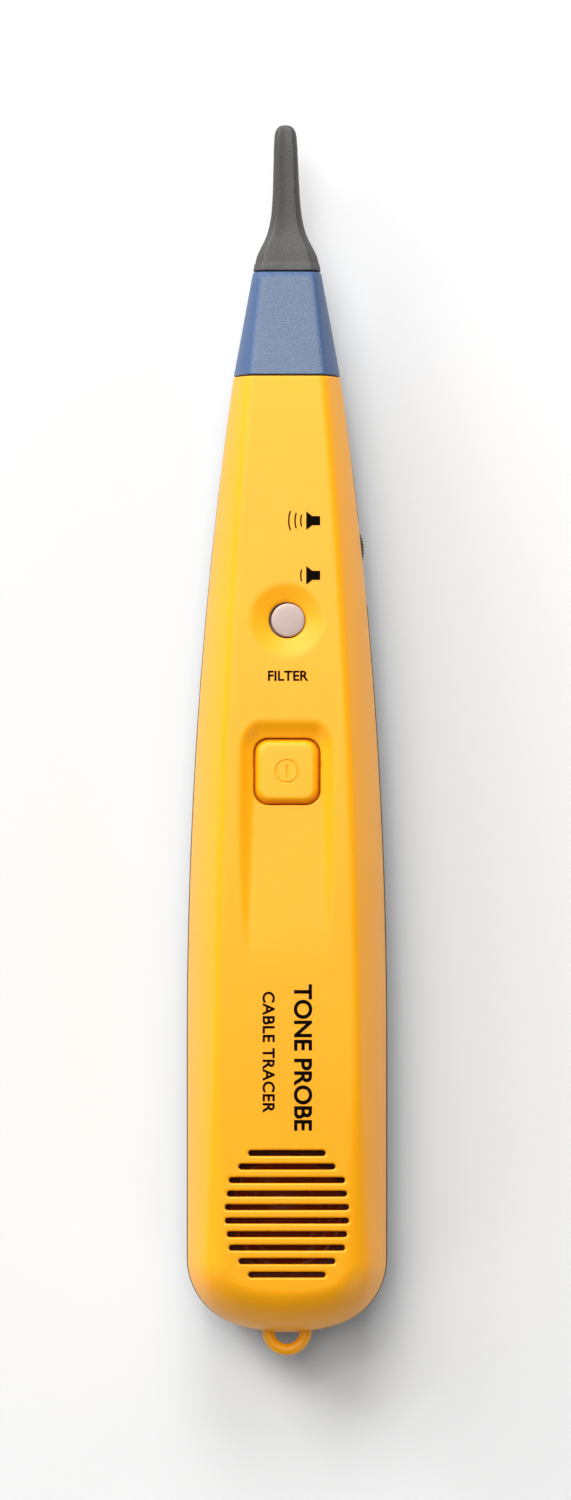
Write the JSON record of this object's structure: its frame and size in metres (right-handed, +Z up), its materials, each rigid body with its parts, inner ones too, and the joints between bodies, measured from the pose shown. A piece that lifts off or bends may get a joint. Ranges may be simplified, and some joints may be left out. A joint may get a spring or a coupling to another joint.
{
  "type": "tone probe",
  "caption": "Hand-held inductive tone probe: tapered two-part housing, blunt conductive tip, speaker grille, power and filter buttons, side volume wheel and lanyard eye.",
  "frame": {"origin": "middle of the overall length and width, on the plane the probe rests on when it lies on its back", "axes": "+Y along the probe towards its tip, +X to the volume wheel's side, +Z up through the front cover"},
  "size_m": [0.0406, 0.249, 0.033],
  "materials": {
    "yellow_plastic": "fine moulded texture, satin",
    "dark_plastic": "fine moulded texture, matt",
    "blue_plastic": "speckled moulded texture, satin sheen",
    "conductive_plastic": "carbon-filled, matt with a faint sheen",
    "translucent_plastic": "milky, smooth",
    "black_plastic": "moulded",
    "white_plastic": "moulded",
    "led_epoxy": "clear tinted",
    "board_laminate": "solder mask",
    "ceramic_chip": "glazed",
    "screw_steel": "zinc plated",
    "tinned_steel": "tinned",
    "brass": "bright",
    "can_aluminium": "sleeved can",
    "foam": "closed-cell foam",
    "speaker_film": "thin glossy film",
    "battery_case": "printed steel",
    "red_insulation": "wire insulation",
    "black_insulation": "wire insulation"
  },
  "bodies": {
    "housing": {"front_cover": "yellow_plastic", "rear_cover": "dark_plastic", "nose_collar": "blue_plastic", "tip_contact_pin": "brass", "earphone_jack": "black_plastic", "case_screws": "screw_steel", "main_board": "board_laminate", "board_screws": "screw_steel", "volume_pot": "black_plastic", "power_switch_body": "black_plastic", "filter_switch_body": "black_plastic", "filter_led": "led_epoxy", "amplifier_chip": "black_plastic", "filter_chip": "black_plastic", "electrolytic_capacitors": "can_aluminium", "chip_resistors": "ceramic_chip", "shield_can": "tinned_steel", "speaker_gasket": "foam", "speaker_frame": "tinned_steel", "speaker_cone": "speaker_film", "speaker_magnet": "tinned_steel", "battery": "battery_case", "battery_terminals": "tinned_steel", "battery_snap": "black_plastic", "battery_lead_red": "red_insulation", "battery_lead_black": "black_insulation", "speaker_leads": "black_insulation", "antenna_lead": "red_insulation"},
    "tip": {"probe_tip": "conductive_plastic"},
    "door": {"battery_door": "dark_plastic", "battery_pad": "foam"},
    "power_key": {"power_button": "yellow_plastic", "power_switch_plunger": "white_plastic"},
    "filter_key": {"filter_button": "translucent_plastic", "filter_switch_plunger": "white_plastic"},
    "wheel": {"volume_wheel": "black_plastic", "wheel_screw": "screw_steel", "pot_shaft": "brass"}
  },
  "joints": [
    {"name": "power_press", "type": "slide", "parent": "housing", "child": "power_key", "axis": [0, 0, -1], "range_m": [0, 0.0008], "stiffness_N_per_m": 1500, "springref_m": -0.001},
    {"name": "filter_press", "type": "slide", "parent": "housing", "child": "filter_key", "axis": [0, 0, -1], "range_m": [0, 0.0005], "stiffness_N_per_m": 2000, "springref_m": -0.0005},
    {"name": "volume_turn", "type": "hinge", "parent": "housing", "child": "wheel", "pos_m": [0.0074, 0.0385, 0.0117], "axis": [0, 0, 1], "range_deg": [0, 300]},
    {"name": "door_slide", "type": "slide", "parent": "housing", "child": "door", "axis": [0, -1, 0], "range_m": [0, 0.053]},
    {"name": "tip_pull", "type": "slide", "parent": "housing", "child": "tip", "axis": [0, 1, 0], "range_m": [0, 0.012]}
  ]
}
